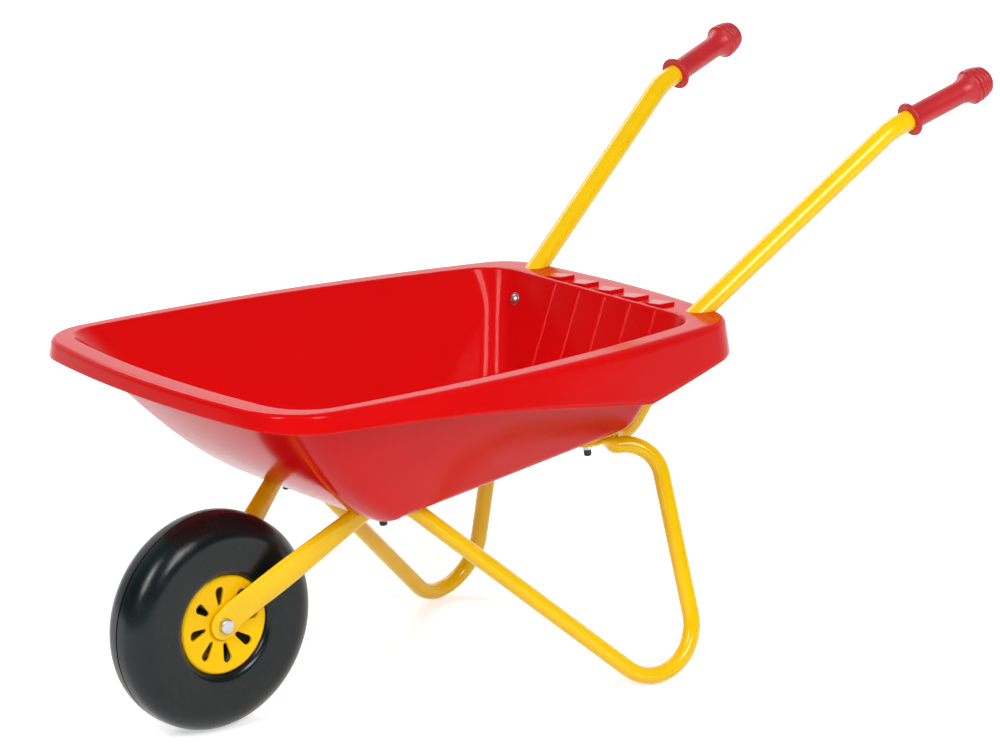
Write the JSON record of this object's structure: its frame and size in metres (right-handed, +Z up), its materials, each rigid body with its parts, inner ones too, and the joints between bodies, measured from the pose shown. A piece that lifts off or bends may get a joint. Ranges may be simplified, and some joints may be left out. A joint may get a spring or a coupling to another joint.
{
  "type": "wheelbarrow",
  "caption": "Child-size wheelbarrow with a flared red plastic tray, bent yellow tube handles and legs, and a free-running wheel on a bolt axle.",
  "frame": {"origin": "on the ground, under the middle of the wheelbarrow's length and width", "axes": "+X forwards to the wheel, +Y to the left of a person who pushes it, +Z up"},
  "size_m": [0.8958, 0.4076, 0.5447],
  "materials": {
    "tray": "glossy",
    "tube_paint": "glossy",
    "grip": "satin",
    "wheel_disc": "glossy",
    "tyre": "satin",
    "steel": "satin",
    "cap": "satin"
  },
  "bodies": {
    "frame": {"tray": "tray", "left_handle_tube": "tube_paint", "right_handle_tube": "tube_paint", "left_undercarriage_tube": "tube_paint", "right_undercarriage_tube": "tube_paint", "left_grip": "grip", "right_grip": "grip", "axle_bolt": "steel", "axle_nut": "steel", "axle_washers": "steel", "front_floor_bolts": "steel", "front_floor_washers": "steel", "front_floor_nuts": "steel", "rear_floor_bolts": "steel", "rear_floor_washers": "steel", "rear_floor_nuts": "steel", "rear_wall_bolts": "steel", "rear_wall_washers": "steel", "rear_wall_nuts": "steel", "front_floor_nut_caps": "cap", "rear_floor_nut_caps": "cap", "rear_wall_nut_caps": "cap"},
    "wheel": {"tyre": "tyre", "left_rim_disc": "wheel_disc", "right_rim_disc": "wheel_disc", "hub_sleeve": "steel"}
  },
  "joints": [
    {"name": "wheel_spin", "type": "hinge", "parent": "frame", "child": "wheel", "pos_m": [0.348, 0, 0.1], "axis": [0, 1, 0], "continuous": true}
  ]
}
